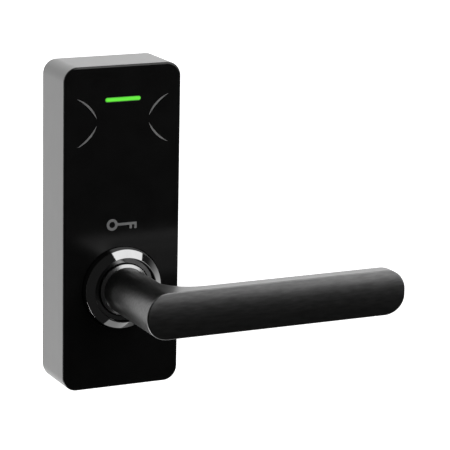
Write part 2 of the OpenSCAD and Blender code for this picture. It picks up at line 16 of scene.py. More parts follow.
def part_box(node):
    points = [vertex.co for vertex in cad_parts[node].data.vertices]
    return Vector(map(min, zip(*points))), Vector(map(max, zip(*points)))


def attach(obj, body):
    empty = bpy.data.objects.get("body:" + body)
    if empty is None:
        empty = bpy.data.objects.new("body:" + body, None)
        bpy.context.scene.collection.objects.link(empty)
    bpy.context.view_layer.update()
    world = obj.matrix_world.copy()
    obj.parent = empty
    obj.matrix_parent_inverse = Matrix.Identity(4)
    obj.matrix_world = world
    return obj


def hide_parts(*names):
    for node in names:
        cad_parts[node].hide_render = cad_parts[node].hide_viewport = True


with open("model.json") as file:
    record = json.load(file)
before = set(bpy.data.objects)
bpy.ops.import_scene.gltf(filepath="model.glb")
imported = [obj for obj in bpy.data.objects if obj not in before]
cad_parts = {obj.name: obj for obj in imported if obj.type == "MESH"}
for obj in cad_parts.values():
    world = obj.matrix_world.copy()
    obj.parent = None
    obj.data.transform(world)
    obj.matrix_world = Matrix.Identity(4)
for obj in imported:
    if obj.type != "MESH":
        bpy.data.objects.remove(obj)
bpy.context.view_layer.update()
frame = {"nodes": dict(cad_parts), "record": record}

MM = 0.001
WELD = 2e-7                # metres within which the patches' shared edges are joined
SHARP_ANGLE = 35           # degrees from which an edge stays sharp
TURN_STEPS = 144           # divisions of a turned piece


# ---------------------------------------------------------------- sizes

def door_box(node):
    """A node's lowest and highest corner in the door frame, in millimetres."""
    low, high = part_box(node)
    return Vector((low.x, low.z, -high.y)) / MM, Vector((high.x, high.z, -low.y)) / MM


housing_low, housing_high = door_box("housing")
cover_low, cover_high = door_box("front_cover")
ring_low, ring_high = door_box("rose_ring")
collar_low, collar_high = door_box("lever_collar")
lever_low, lever_high = door_box("lever")
light_low, light_high = door_box("light_pipe")
marks_low, marks_high = door_box("reader_marks")
key_high = door_box("key_mark")[1]

CASE_W = cover_high.x - cover_low.x
CASE_H = cover_high.y - cover_low.y
CASE_CY = (cover_high.y + cover_low.y) / 2
FRONT_Z = cover_high.z
BAND_Z = housing_high.z
SEAT_Z = cover_low.z
CORNER_R = 7.0             # corner radius of the case, seen from the front
LEAST_R = 0.05             # corner radius that an outline drawn far in still keeps
WALL = 2.4                 # thickness of the case's wall
WEB_Z = 22.4               # back of the case's front web
LIGHT_FLANGE = 1.2         # how far the light guide's flange runs past its bar
LIGHT_L = light_high.x - light_low.x - 2 * LIGHT_FLANGE
LIGHT_H = light_high.y - light_low.y - 2 * LIGHT_FLANGE
LIGHT_CY = (light_high.y + light_low.y) / 2


# ---------------------------------------------------------------- mesh tools

def to_row(p):
    """Door frame in millimetres to row frame in metres."""
    return Vector((p[0], -p[2], p[1])) * MM


class Shell:
    """Collects patches of one piece and joins them into one mesh."""

    def __init__(self):
        self.bm = bmesh.new()

    def add(self, points):
        return [self.bm.verts.new(to_row(p)) for p in points]

    def face(self, verts):
        kept = [v for i, v in enumerate(verts) if (v.co - verts[i - 1].co).length > WELD]
        if len(kept) > 2:
            self.bm.faces.new(kept)

    def grid(self, rows, closed=False):
        """Quads between neighbouring rows of points. closed joins each row's end to its start."""
        rows = [self.add(row) for row in rows]
        count = len(rows[0])
        for low, high in zip(rows, rows[1:]):
            for i in range(count if closed else count - 1):
                j = (i + 1) % count
                self.face([low[i], low[j], high[j], high[i]])

    def flat(self, outer, holes, z):
        """Fills the region inside the outer loop and outside the holes, at level z."""
        loops = [outer, *holes]
        points = [Vector(p) for loop in loops for p in loop]
        edges = []
        start = 0
        for loop in loops:
            edges += [(start + i, start + (i + 1) % len(loop)) for i in range(len(loop))]
            start += len(loop)
        found, _, faces, *_ = delaunay_2d_cdt(points, edges, [], 1, 1e-6)
        verts = self.add([(p.x, p.y, z) for p in found])
        for face in faces:
            middle = sum((found[i] for i in face), Vector((0, 0))) / len(face)
            if not any(inside(middle, hole) for hole in holes):
                self.face([verts[i] for i in face])

    def done(self, name, body, slot, *nodes):
        """Welds the patches, makes the object and puts it in place of the CAD nodes."""
        bmesh.ops.remove_doubles(self.bm, verts=self.bm.verts, dist=WELD)
        bmesh.ops.dissolve_degenerate(self.bm, edges=self.bm.edges, dist=WELD)
        bmesh.ops.recalc_face_normals(self.bm, faces=self.bm.faces)
        mesh = bpy.data.meshes.new(name)
        self.bm.to_mesh(mesh)
        self.bm.free()
        mesh.shade_smooth()
        mesh.set_sharp_from_angle(angle=math.radians(SHARP_ANGLE))
        piece = bpy.data.objects.new(name, mesh)
        bpy.context.scene.collection.objects.link(piece)
        normals = piece.modifiers.new("face_normals", "WEIGHTED_NORMAL")
        normals.mode = "FACE_AREA"
        normals.keep_sharp = True
        mesh.materials.append(MATERIALS[slot])
        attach(piece, body)
        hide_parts(*nodes)


def inside(point, loop):
    """Whether a point is inside a closed outline."""
    result = False
    for (x0, y0), (x1, y1) in zip(loop, loop[1:] + loop[:1]):
        if (y0 > point[1]) != (y1 > point[1]):
            result ^= point[0] < x0 + (point[1] - y0) * (x1 - x0) / (y1 - y0)
    return result


def arc(cx, cy, r, start, end, steps):
    """Points of an arc in the plane, from one angle to the other in degrees."""
    angles = [math.radians(start + (end - start) * i / steps) for i in range(steps + 1)]
    return [(cx + r * math.cos(a), cy + r * math.sin(a)) for a in angles]


def case_loop(inset, steps=14):
    """The case's outline, drawn in by inset."""
    r = max(CORNER_R - inset, LEAST_R)
    x, y = CASE_W / 2 - inset - r, CASE_H / 2 - inset - r
    corners = [(x, y, 0), (-x, y, 90), (-x, -y, 180), (x, -y, 270)]
    return [p for cx, cy, a in corners for p in arc(cx, CASE_CY + cy, r, a, a + 90, steps)]


def circle_loop(r, steps, cx=0.0, cy=0.0):
    return arc(cx, cy, r, 0, 360, steps)[:-1]


def stadium_loop(length, height, cx, cy, steps=10):
    """Bar with round ends."""
    r, x = height / 2, (length - height) / 2
    return arc(cx + x, cy, r, -90, 90, steps) + arc(cx - x, cy, r, 90, 270, steps)


def raised(loop, z):
    return [(x, y, z) for x, y in loop]


def wall(shell, loop, low, high):
    """Straight wall along a closed outline."""
    shell.grid([raised(loop, low), raised(loop, high)], closed=True)


def rounding(radius, steps):
    """Quarter round of an edge, as (distance inwards, distance below the top) from side to top."""
    angles = [math.pi / 2 * i / steps for i in range(steps + 1)]
    return [(radius * (1 - math.cos(a)), radius * (1 - math.sin(a))) for a in angles]


def rounded_chain(corners, steps=6):
    """Polyline through (r, z, radius) corners, each rounded by its radius."""
    points = []
    for i, (x, y, r) in enumerate(corners):
        if r == 0 or i in (0, len(corners) - 1):
            points.append((x, y))
            continue
        here = Vector((x, y))
        before = (Vector(corners[i - 1][:2]) - here).normalized()
        after = (Vector(corners[i + 1][:2]) - here).normalized()
        half = before.angle(after) / 2
        cut = r / math.tan(half)
        centre = here + (before + after).normalized() * (r / math.sin(half))
        a, b = here + before * cut - centre, here + after * cut - centre
        turn = a.angle_signed(b) if a.angle(b) < math.pi - 1e-6 else math.pi
        for k in range(steps + 1):
            v = a.copy()
            v.rotate(Matrix.Rotation(-turn * k / steps, 2))
            points.append(tuple(centre + v))
    return points


def lathe(shell, chain):
    """Turns a closed (r, z) outline round the lever's axis."""
    shell.grid([raised(circle_loop(r, TURN_STEPS), z) for r, z in chain + chain[:1]], closed=True)


# ---------------------------------------------------------------- materials

def new_material(name):
    made = bpy.data.materials.new(name)
    made.use_nodes = True
    tree = made.node_tree
    return made, tree, tree.nodes["Principled BSDF"]


def link(tree, a, a_socket, b, b_socket):
    tree.links.new(a.outputs[a_socket], b.inputs[b_socket])


def math_node(tree, operation, second=None):
    node = tree.nodes.new("ShaderNodeMath")
    node.operation = operation
    if second is not None:
        node.inputs[1].default_value = second
    return node


def noise(tree, size_mm, stretch=(1, 1, 1), detail=3.0):
    """Noise whose patches are about size_mm across, drawn out along the axes by stretch."""
    where = tree.nodes.new("ShaderNodeTexCoord")
    scale = tree.nodes.new("ShaderNodeMapping")
    scale.inputs["Scale"].default_value = [1 / (size_mm * MM * s) for s in stretch]
    link(tree, where, "Object", scale, "Vector")
    texture = tree.nodes.new("ShaderNodeTexNoise")
    texture.inputs["Scale"].default_value = 1.0
    texture.inputs["Detail"].default_value = detail
    link(tree, scale, "Vector", texture, "Vector")
    return texture


def vary_color(tree, shader, source, dark, light):
    ramp = tree.nodes.new("ShaderNodeValToRGB")
    ramp.color_ramp.elements[0].position = 0.3
    ramp.color_ramp.elements[1].position = 0.7
    ramp.color_ramp.elements[0].color = (*dark, 1)
    ramp.color_ramp.elements[1].color = (*light, 1)
    link(tree, source, "Fac", ramp, "Fac")
    link(tree, ramp, "Color", shader, "Base Color")


def vary_roughness(tree, shader, source, low, high):
    span = tree.nodes.new("ShaderNodeMapRange")
    span.inputs["To Min"].default_value = low
    span.inputs["To Max"].default_value = high
    link(tree, source, "Fac", span, "Value")
    link(tree, span, "Result", shader, "Roughness")


def add_bump(tree, shader, source, depth_mm):
    bump = tree.nodes.new("ShaderNodeBump")
    bump.inputs["Strength"].default_value = 1.0
    bump.inputs["Distance"].default_value = depth_mm * MM
    link(tree, source, "Fac", bump, "Height")
    link(tree, bump, "Normal", shader, "Normal")


def finish_material(name, color, roughness, metallic=0.0, tint=0.08, patch_mm=6.0, grain_mm=0.5,
                    depth_mm=0.01, spread=0.03, stretch=(1, 1, 1), **sockets):
    """Material with cloudy colour and gloss, and a fine grain in its surface."""
    made, tree, shader = new_material(name)
    clouds = noise(tree, patch_mm, stretch)
    grain = noise(tree, grain_mm, stretch, detail=2.0)
    vary_color(tree, shader, clouds, [c * (1 - tint) for c in color], [c * (1 + tint) for c in color])
    vary_roughness(tree, shader, clouds, roughness - spread, roughness + spread)
    add_bump(tree, shader, grain, depth_mm)
    shader.inputs["Metallic"].default_value = metallic
    for socket, value in sockets.items():
        shader.inputs[socket.replace("_", " ")].default_value = value
    return made


def grey(value):
    return (value, value, value)


# colour, roughness, metallic, tint, patch_mm, grain_mm, depth_mm, spread
MATERIALS = {
    "case_grey": finish_material("case_grey", grey(0.41), 0.42, 0.0, 0.03, 14, 0.35, 0.004),
    "cover_black": finish_material("cover_black", grey(0.008), 0.16, 0.0, 0.15, 10, 0.3, 0.0005, 0.02),
    "lever_black": finish_material("lever_black", grey(0.18), 0.30, 1.0, 0.16, 1.2, 0.2, 0.004,
                                   stretch=(5, 1, 1)),
    "dark_chrome": finish_material("dark_chrome", grey(0.42), 0.05, 1.0, 0.03, 5, 0.8, 0.0002, 0.01),
    "bright_chrome": finish_material("bright_chrome", grey(0.42), 0.26, 1.0, 0.03, 5, 0.8, 0.0004, 0.02),
    "mark_grey": finish_material("mark_grey", grey(0.36), 0.5, 0.0, 0.05, 3, 0.2, 0.002),
    "zinc_steel": finish_material("zinc_steel", (0.52, 0.54, 0.57), 0.34, 1.0, 0.10, 4, 0.5, 0.004),
    "screw_steel": finish_material("screw_steel", (0.42, 0.42, 0.43), 0.28, 1.0, 0.08, 1.5, 0.2, 0.002),
    "spring_steel": finish_material("spring_steel", (0.5, 0.5, 0.52), 0.25, 1.0, 0.08, 1.2, 0.2, 0.002),
    "brass_hub": finish_material("brass_hub", (0.62, 0.45, 0.2), 0.28, 1.0, 0.08, 2.0, 0.3, 0.002),
    "black_rubber": finish_material("black_rubber", grey(0.018), 0.8, 0.0, 0.2, 2.0, 0.3, 0.02),
    "bush_polymer": finish_material("bush_polymer", (0.72, 0.70, 0.62), 0.5, 0.0, 0.04, 5.0, 0.4, 0.004),
    "inner_plastic": finish_material("inner_plastic", grey(0.03), 0.55, 0.0, 0.15, 3.0, 0.3, 0.01),
    "motor_can": finish_material("motor_can", (0.6, 0.6, 0.61), 0.3, 1.0, 0.06, 3.0, 0.4, 0.002),
    "board_green": finish_material("board_green", (0.01, 0.12, 0.04), 0.3, 0.0, 0.25, 2.5, 0.6, 0.01),
    "copper_trace": finish_material("copper_trace", (0.6, 0.3, 0.15), 0.35, 1.0, 0.1, 1.0, 0.3, 0.002),
    "led_lens": finish_material("led_lens", (0.75, 0.85, 0.75), 0.15, 0.0, 0.04, 1.0, 0.3, 0.002),
    "cell_sleeve": finish_material("cell_sleeve", (0.12, 0.14, 0.2), 0.3, 0.0, 0.1, 6.0, 0.4, 0.002),
    "wire_red": finish_material("wire_red", (0.35, 0.02, 0.02), 0.45, 0.0, 0.1, 2.0, 0.3, 0.004),
}


GLOW_CORE = 0.45           # share of the bar's half height within which it glows in full
GLOW_RIM = 0.3             # strength of the glow at the bar's outline


def glow_strength(tree):
    """Node whose result falls off with the distance from the bar's middle line."""
    where = tree.nodes.new("ShaderNodeTexCoord")
    split = tree.nodes.new("ShaderNodeSeparateXYZ")
    along = math_node(tree, "ABSOLUTE")
    past_end = math_node(tree, "SUBTRACT", (LIGHT_L - LIGHT_H) / 2 * MM)
    no_less = math_node(tree, "MAXIMUM", 0.0)
    across = math_node(tree, "SUBTRACT", LIGHT_CY * MM)
    join = tree.nodes.new("ShaderNodeCombineXYZ")
    from_middle = tree.nodes.new("ShaderNodeVectorMath")
    from_middle.operation = "LENGTH"
    fade = tree.nodes.new("ShaderNodeMapRange")
    fade.interpolation_type = "SMOOTHSTEP"
    fade.inputs["From Min"].default_value = LIGHT_H / 2 * GLOW_CORE * MM
    fade.inputs["From Max"].default_value = LIGHT_H / 2 * MM
    fade.inputs["To Min"].default_value = 1.0
    fade.inputs["To Max"].default_value = GLOW_RIM
    link(tree, where, "Object", split, "Vector")
    link(tree, split, "X", along, 0)
    link(tree, along, "Value", past_end, 0)
    link(tree, past_end, "Value", no_less, 0)
    link(tree, split, "Z", across, 0)
    link(tree, no_less, "Value", join, "X")
    link(tree, across, "Value", join, "Y")
    link(tree, join, "Vector", from_middle, 0)
    link(tree, from_middle, "Value", fade, "Value")
    return fade


def status_light_material():
    """Lit translucent bar, bright along its middle and dimmer towards its outline."""
    made, tree, shader = new_material("status_light")
    clouds = noise(tree, 1.6)
    vary_color(tree, shader, clouds, (0.03, 0.30, 0.02), (0.05, 0.42, 0.03))
    vary_roughness(tree, shader, clouds, 0.25, 0.35)
    glow = tree.nodes.new("ShaderNodeValToRGB")
    glow.color_ramp.elements[0].color = (0.10, 0.70, 0.035, 1)
    glow.color_ramp.elements[1].color = (0.16, 0.84, 0.06, 1)
    link(tree, clouds, "Fac", glow, "Fac")
    link(tree, glow, "Color", shader, "Emission Color")
    link(tree, glow_strength(tree), "Result", shader, "Emission Strength")
    return made


MATERIALS["status_light"] = status_light_material()


# ---------------------------------------------------------------- lever

NECK_R = lever_high.y
REACH = lever_high.x
GRIP_FRONT = lever_high.z
NECK_Z = collar_high.z
GRIP_T = 14.4              # thickness of the grip
CROWN_H = 1.4              # how far the front bulges
CROWN_R = (NECK_R ** 2 + CROWN_H ** 2) / (2 * CROWN_H)
END_R = 9.6                # corner radius at the tip, seen from the front
BACK_R = 8.0               # rounding of the grip's back
BEND_R = 11.0              # inner radius of the bend
CREASE_R = 0.6             # rounding of the edge round the front face
GRIP_BACK = GRIP_FRONT - GRIP_T
BEND_Z = GRIP_BACK - BEND_R
BEND_X = NECK_R + BEND_R
STUB_R = 10.05             # the neck's stub inside the collar
SHANK_R = 7.0
SHANK_FLAT = 5.5           # half the distance between the shank's flats
HUB_TOP = 17.6             # level at which the flats begin
COLLAR_Z = collar_low.z
ACROSS = 16                # divisions of the front and the back across the grip
ROUND = 12                 # divisions of a back rounding
STRIP = 4                  # divisions of the flat strip beside the front face
LEFT = 24                  # divisions of a quarter of the left end
CREASE = 6                 # divisions of the crease
BEND_STEPS = 14            # divisions of the bend before its corner section, and again after it
NECK_STEPS = 6             # divisions of the neck below the bend
STRAIGHT_STEPS = 32        # divisions of the grip's straight part


def crown_centre(y):
    """Level of the centre of the ball that rounds the crease at height y."""
    return GRIP_FRONT - CROWN_R + math.sqrt((CROWN_R - CREASE_R) ** 2 - y * y)


def smooth(t):
    return t * t * (3 - 2 * t)


def bend_profile(w):
    """Inner half of the bend's section, from the top round the inner side to the bottom, as
    (height, depth outside the inner line). w is 0 at the neck's circle and 1 at the grip's section."""
    count = 2 * ROUND + ACROSS
    made = []
    for k in range(count + 1):
        b = math.pi * k / count
        circle = (NECK_R * math.cos(b), NECK_R * (1 - math.sin(b)))
        flat = NECK_R - BACK_R
        if k <= ROUND:
            a = math.pi / 2 * k / ROUND
            grip = (flat + BACK_R * math.cos(a), BACK_R * (1 - math.sin(a)))
        elif k <= ROUND + ACROSS:
            grip = (flat * (1 - 2 * (k - ROUND) / ACROSS), 0.0)
        else:
            a = math.pi / 2 * (count - k) / ROUND
            grip = (-flat - BACK_R * math.cos(a), BACK_R * (1 - math.sin(a)))
        made.append(tuple((1 - w) * c + w * g for c, g in zip(circle, grip)))
    return made


def bend_angles():
    """Angles of the bend's sections from the neck to the grip. One of them, the corner section,
    meets the corner where the neck's side ends at the crease."""
    corner = 180 - math.degrees(math.atan2(RISE, BEND_X))
    first = [180 + (corner - 180) * i / BEND_STEPS for i in range(BEND_STEPS)]
    second = [corner + (90 - corner) * i / BEND_STEPS for i in range(BEND_STEPS + 1)]
    return [math.radians(a) for a in first + second]


def crease_x(angle):
    """Where the bend's section at an angle, past the corner section, meets the crease."""
    if abs(angle - math.pi / 2) < 1e-9:
        return BEND_X
    return BEND_X + RISE / math.tan(angle)


TOP_Z = crown_centre(NECK_R - CREASE_R)
RISE = TOP_Z - BEND_Z      # from the bend's centre to the crease along the grip's sides
ANGLES = bend_angles()
# share of RISE at which each section up to the corner section leaves the neck's side
LEVELS = [BEND_X * math.tan(math.pi - a) / RISE for a in ANGLES[:BEND_STEPS + 1]]
CREASE_X = [crease_x(a) for a in ANGLES[BEND_STEPS:]]


def lever_outline():
    """Upper half of the front outline from the leftmost point to the tip's upper corner, as
    (x, y, normal x, normal y)."""
    half = [(NECK_R * math.cos(a), NECK_R * math.sin(a), math.cos(a), math.sin(a))
            for a in [math.pi - math.pi / 2 * i / LEFT for i in range(LEFT)]]
    half += [(x, NECK_R, 0.0, 1.0) for x in CREASE_X]
    straight_end = REACH - END_R
    step = (straight_end - BEND_X) / STRAIGHT_STEPS
    half += [(BEND_X + step * i, NECK_R, 0.0, 1.0) for i in range(1, STRAIGHT_STEPS)]
    side = NECK_R - END_R
    for i in range(ROUND + 1):
        a = math.pi / 2 * (1 - i / ROUND)
        half.append((straight_end + END_R * math.cos(a), side + END_R * math.sin(a),
                     math.cos(a), math.sin(a)))
    return half


def left_angles():
    """Angles round the left half of the neck, from its top to its bottom."""
    quarter = [math.pi - math.pi / 2 * i / LEFT for i in range(LEFT + 1)]
    return quarter[::-1] + [2 * math.pi - a for a in quarter[1:]]


def heights(y):
    """Heights from y down to -y in equal steps."""
    return [y * (1 - 2 * k / ACROSS) for k in range(ACROSS + 1)]


def neck_side(shell):
    """Left half of the neck's side, up to the crease."""
    rows = [[] for _ in LEVELS]
    for a in left_angles():
        top = crown_centre((NECK_R - CREASE_R) * math.sin(a))
        for row, share in zip(rows, LEVELS):
            row.append((NECK_R * math.cos(a), NECK_R * math.sin(a), BEND_Z + share * (top - BEND_Z)))
    shell.grid(rows)


def neck_and_shank(shell):
    """Neck below the bend, stub and shank, as full rings."""
    ring = [(NECK_R * math.cos(a), NECK_R * math.sin(a)) for a in left_angles()]
    ring += [(NECK_R - depth, y) for y, depth in bend_profile(0)[-2:0:-1]]
    levels = [(NECK_R, BEND_Z + (NECK_Z - BEND_Z) * i / NECK_STEPS) for i in range(NECK_STEPS + 1)]
    levels += [(STUB_R, NECK_Z), (STUB_R, COLLAR_Z), (SHANK_R, COLLAR_Z), (SHANK_R, HUB_TOP)]
    rows = [[(x * r / NECK_R, y * r / NECK_R, z) for x, y in ring] for r, z in levels]
    flats = [(max(-SHANK_FLAT, min(SHANK_FLAT, x)), y) for x, y, _ in rows[-1]]
    rows += [raised(flats, HUB_TOP), raised(flats, lever_low.z)]
    shell.grid(rows, closed=True)
    shell.flat(flats, [], lever_low.z)


def bend_sides(shell):
    """Inner side of the bend, and the flat areas above and below it."""
    bends = []
    for i, a in enumerate(ANGLES):
        profile = bend_profile(smooth(i / (len(ANGLES) - 1)))
        bends.append([(BEND_X + (BEND_R + d) * math.cos(a), y, BEND_Z + (BEND_R + d) * math.sin(a))
                      for y, d in profile])
    shell.grid(bends)
    ends = [(0.0, BEND_Z + level * RISE) for level in LEVELS]
    ends += [(x, TOP_Z) for x in CREASE_X[1:]]
    for side in (0, -1):
        rows = []
        for bend, (end_x, end_z) in zip(bends, ends):
            x, y, z = bend[side]
            rows.append([(x + (end_x - x) * k / STRIP, y, z + (end_z - z) * k / STRIP)
                         for k in range(STRIP + 1)])
        shell.grid(rows)


def grip_sides(shell, outline):
    """Flat strips and back roundings above and below the grip, and its back."""
    low = GRIP_BACK + BACK_R
    for side in (1, -1):
        strips = []
        rounds = []
        for x, y, nx, ny in outline:
            top = crown_centre(y - CREASE_R * ny)
            strips.append([(x, side * y, low + (top - low) * k / STRIP) for k in range(STRIP + 1)])
            rounds.append([(x - inward * nx, side * (y - inward * ny), GRIP_BACK + up)
                           for inward, up in rounding(BACK_R, ROUND)])
        shell.grid(strips)
        shell.grid(rounds)
    shell.grid([[(x - BACK_R * nx, e, GRIP_BACK) for e in heights(y - BACK_R * ny)]
                for x, y, nx, ny in outline])


def grip_end(shell, x, y):
    """The straight end between the tip's corners."""
    low = GRIP_BACK + BACK_R
    shell.grid([[(x, e, low + (crown_centre(e) - low) * k / STRIP) for e in heights(y)]
                for k in range(STRIP + 1)])
    shell.grid([[(x - inward, e, GRIP_BACK + up) for e in heights(y)]
                for inward, up in rounding(BACK_R, ROUND)])


def crease(shell, outline):
    """Rounded edge round the front. Returns its inner rim."""
    rows = [[] for _ in range(CREASE + 1)]
    for x, y, nx, ny in outline:
        cx, cy = x - CREASE_R * nx, y - CREASE_R * ny
        cz = crown_centre(cy)
        face = Vector((0, cy, cz - GRIP_FRONT + CROWN_R)).normalized()
        side = Vector((nx, ny, 0))
        turn = side.angle(face)
        for k, row in enumerate(rows):
            t = k / CREASE
            v = (side * math.sin((1 - t) * turn) + face * math.sin(t * turn)) / math.sin(turn)
            row.append((cx + CREASE_R * v.x, cy + CREASE_R * v.y, cz + CREASE_R * v.z))
    shell.grid(rows, closed=True)
    return rows[-1]


def crowned_front(shell, upper_rim):
    """The front face, spanned from the upper half of its rim to the lower half."""
    centre = GRIP_FRONT - CROWN_R
    shell.grid([[(x, e, centre + math.sqrt(CROWN_R ** 2 - e * e)) for e in heights(y)]
                for x, y, _ in upper_rim])


def lever_piece():
    """L-shaped lever: shank, round neck, bend, and a grip with a crowned front."""
    shell = Shell()
    upper = lever_outline()
    tip_x, tip_y = upper[-1][:2]
    end = [(tip_x, e, 1.0, 0.0) for e in heights(tip_y)[1:-1]]
    lower = [(x, -y, nx, -ny) for x, y, nx, ny in reversed(upper[1:])]
    neck_side(shell)
    neck_and_shank(shell)
    bend_sides(shell)
    grip_sides(shell, upper[LEFT + len(CREASE_X) - 1:])
    grip_end(shell, tip_x, tip_y)
    rim = crease(shell, upper + end + lower)
    crowned_front(shell, rim[:len(upper)])
    shell.done("lever_handle", "handle", "lever_black", "lever")


# ---------------------------------------------------------------- rose

RING_BORE = 13.0
SEAT_R = 14.2              # radius of the ring's recess over the bush's flange
LIP_R = 15.6               # middle of the narrow lip inside the bevel
RING_RIM = 2.75            # height of the bevel's outer edge above the cover
RING_DRAFT = 0.8           # how far the ring's side leans in
RING_SUNK = 2.2            # depth of the floor below the lip
LIP_HALF = 0.2             # half the lip's width at its top
LIP_FOOT = 0.6             # from the lip's middle to where its inner side meets the floor
SEAT_DEPTH = 1.0           # depth of the recess over the bush's flange
COLLAR_BEVEL = 1.0         # height of the bevel on the collar's front edge


def ring_piece():
    """Rose ring: drafted side, wide polished bevel, narrow lip and sunk floor."""
    shell = Shell()
    r, top, low = ring_high.x, ring_high.z, ring_low.z
    rim_r, rim_z = r - RING_DRAFT, FRONT_Z + RING_RIM
    floor_z = top - RING_SUNK
    lathe(shell, rounded_chain([
        (SEAT_R, low, 0), (r, low, 0.1), (r, FRONT_Z, 0.1), (rim_r, rim_z, 0.5),
        (LIP_R + LIP_HALF, top, 0.15), (LIP_R - LIP_HALF, top, 0.15), (LIP_R - LIP_FOOT, floor_z, 0.2),
        (RING_BORE, floor_z, 0.15), (RING_BORE, low + SEAT_DEPTH, 0.1), (SEAT_R, low + SEAT_DEPTH, 0)]))
    shell.done("rose_bezel", "chassis", "dark_chrome", "rose_ring")


def collar_piece():
    """Collar at the foot of the neck, with a bevelled front edge."""
    shell = Shell()
    r, low, top = collar_high.x, collar_low.z, collar_high.z
    lathe(shell, rounded_chain([
        (STUB_R, low, 0), (r, low, 0.15), (r, top - COLLAR_BEVEL, 0.15), (NECK_R, top, 0.1),
        (STUB_R, top, 0)]))
    shell.done("neck_collar", "handle", "bright_chrome", "lever_collar")


# ---------------------------------------------------------------- case

POCKET = 0.3               # depth of the inlaid marks
GAP = 0.03                 # between the cover and what is let into it
ROSE_GAP = 0.2             # between the cover and the rose
SPIGOT_GAP = 0.15          # between the cover's spigot and the case's wall
EDGE_R = 1.0               # rounding of the cover's front edge
BACK_BREAK = 0.06          # chamfer of the cover's back edge
HOLE_R = 0.12              # rounding of the cover's openings
LIGHT_R = 0.2              # rounding of the light bar's front edge
LIGHT_STEP = 1.4           # from the cover's seat to the front of the light guide's flange
CASE_BACK_R = 0.45         # rounding of the case's back edge
CASE_FRONT_R = 0.25        # rounding of the case's front edge
SEAT_HOLE_R = 12.0         # opening in the web for the lever's bearing
WINDOW_W = 42.0            # opening in the web behind the reader
WINDOW_H = 48.0
WINDOW_DROP = 36.5         # from the cover's top to the window's middle
WINDOW_CY = cover_high.y - WINDOW_DROP

MARK_R = 14.8              # outer radius of a crescent
MARK_HALF = 7.1            # half the distance between its tips
MARK_T = 0.95              # its thickness in the middle
MARK_BLUNT = 0.25          # how much each tip is cut short
MARK_TILT = 45             # degrees
MARK_X = 18.15             # from the marks' middle to the middle between a crescent's tips
MARK_Y = 6.5

BOW_R = 2.8                # the key's bow, its middle and its hole
BOW_X = -5.0
BOW_HOLE_R = 1.5
BLADE = 0.6                # half the width of the key's blade
TOOTH = 2.5                # reach of the teeth below the blade's middle line
TEETH = ((3.9, 5.1), (6.3, 7.5))


def crescent_shape():
    """Outline of one crescent, with the middle between its tips at the origin."""
    tip = math.sqrt(MARK_R ** 2 - MARK_HALF ** 2)
    rise = MARK_R - MARK_T - tip
    inner_r = (MARK_HALF ** 2 + rise ** 2) / (2 * rise)
    y = MARK_HALF - MARK_BLUNT
    outer, inner = math.degrees(math.asin(y / MARK_R)), math.degrees(math.asin(y / inner_r))
    shape = arc(-tip, 0, MARK_R, -outer, outer, steps=16)
    return shape + arc(MARK_R - MARK_T - inner_r - tip, 0, inner_r, inner, -inner, steps=16)


def crescent_loops():
    """Outlines of the four crescents, mirrored across and up."""
    cy = (marks_low.y + marks_high.y) / 2
    tilt = Matrix.Rotation(math.radians(MARK_TILT), 2)
    shape = [tilt @ Vector(p) for p in crescent_shape()]
    return [[(sx * (p.x - MARK_X), cy + sy * (p.y + MARK_Y)) for p in shape]
            for sx in (1, -1) for sy in (1, -1)]


def key_loops():
    """Outer outline of the key, and the hole in its bow."""
    cy = key_high.y - BOW_R
    touch = math.degrees(math.asin(BLADE / BOW_R))
    outer = arc(BOW_X, cy, BOW_R, touch, 360 - touch, steps=40)
    for near, far in TEETH:
        outer += [(near, cy - BLADE), (near, cy - TOOTH), (far, cy - TOOTH), (far, cy - BLADE)]
    outer[-1] = (TEETH[-1][1], cy + BLADE)
    return outer, circle_loop(BOW_HOLE_R, steps=32, cx=BOW_X, cy=cy)


def grown(loop, by):
    """The outline moved outwards by a small distance."""
    count = len(loop)
    area = sum(loop[i - 1][0] * loop[i][1] - loop[i][0] * loop[i - 1][1] for i in range(count))
    sign = 1 if area > 0 else -1
    made = []
    for i, p in enumerate(loop):
        before = Vector(p) - Vector(loop[i - 1])
        after = Vector(loop[(i + 1) % count]) - Vector(p)
        n = before.normalized() + after.normalized()
        n = Vector((n.y, -n.x)).normalized() * sign
        share = max(0.5, n.dot(Vector((after.y, -after.x)).normalized() * sign))
        made.append((p[0] + n.x * by / share, p[1] + n.y * by / share))
    return made


def rose_opening(grow):
    """The cover's opening round the rose, widened by grow."""
    return circle_loop(ring_high.x + ROSE_GAP + grow, TURN_STEPS)


def light_opening(grow):
    """The cover's opening round the light bar, widened by grow."""
    more = 2 * (grow + GAP)
    return stadium_loop(LIGHT_L + more, LIGHT_H + more, 0, LIGHT_CY)


def cover_opening(shell, opening):
    """Wall of an opening, with a rounded front edge. Returns its outline at the front."""
    rows = [raised(opening(0), SEAT_Z)]
    for outward, down in rounding(HOLE_R, steps=4):
        rows.append(raised(opening(outward), FRONT_Z - down))
    shell.grid(rows, closed=True)
    return [p[:2] for p in rows[-1]]


def inlay_pocket(shell, loop, islands):
    """Pocket for an inlay, round the islands that stay level with the front. Returns its outline."""
    wide = grown(loop, GAP)
    wall(shell, wide, FRONT_Z - POCKET, FRONT_Z)
    for island in islands:
        wall(shell, island, FRONT_Z - POCKET, FRONT_Z)
        shell.flat(island, [], FRONT_Z)
    shell.flat(wide, islands, FRONT_Z - POCKET)
    return wide


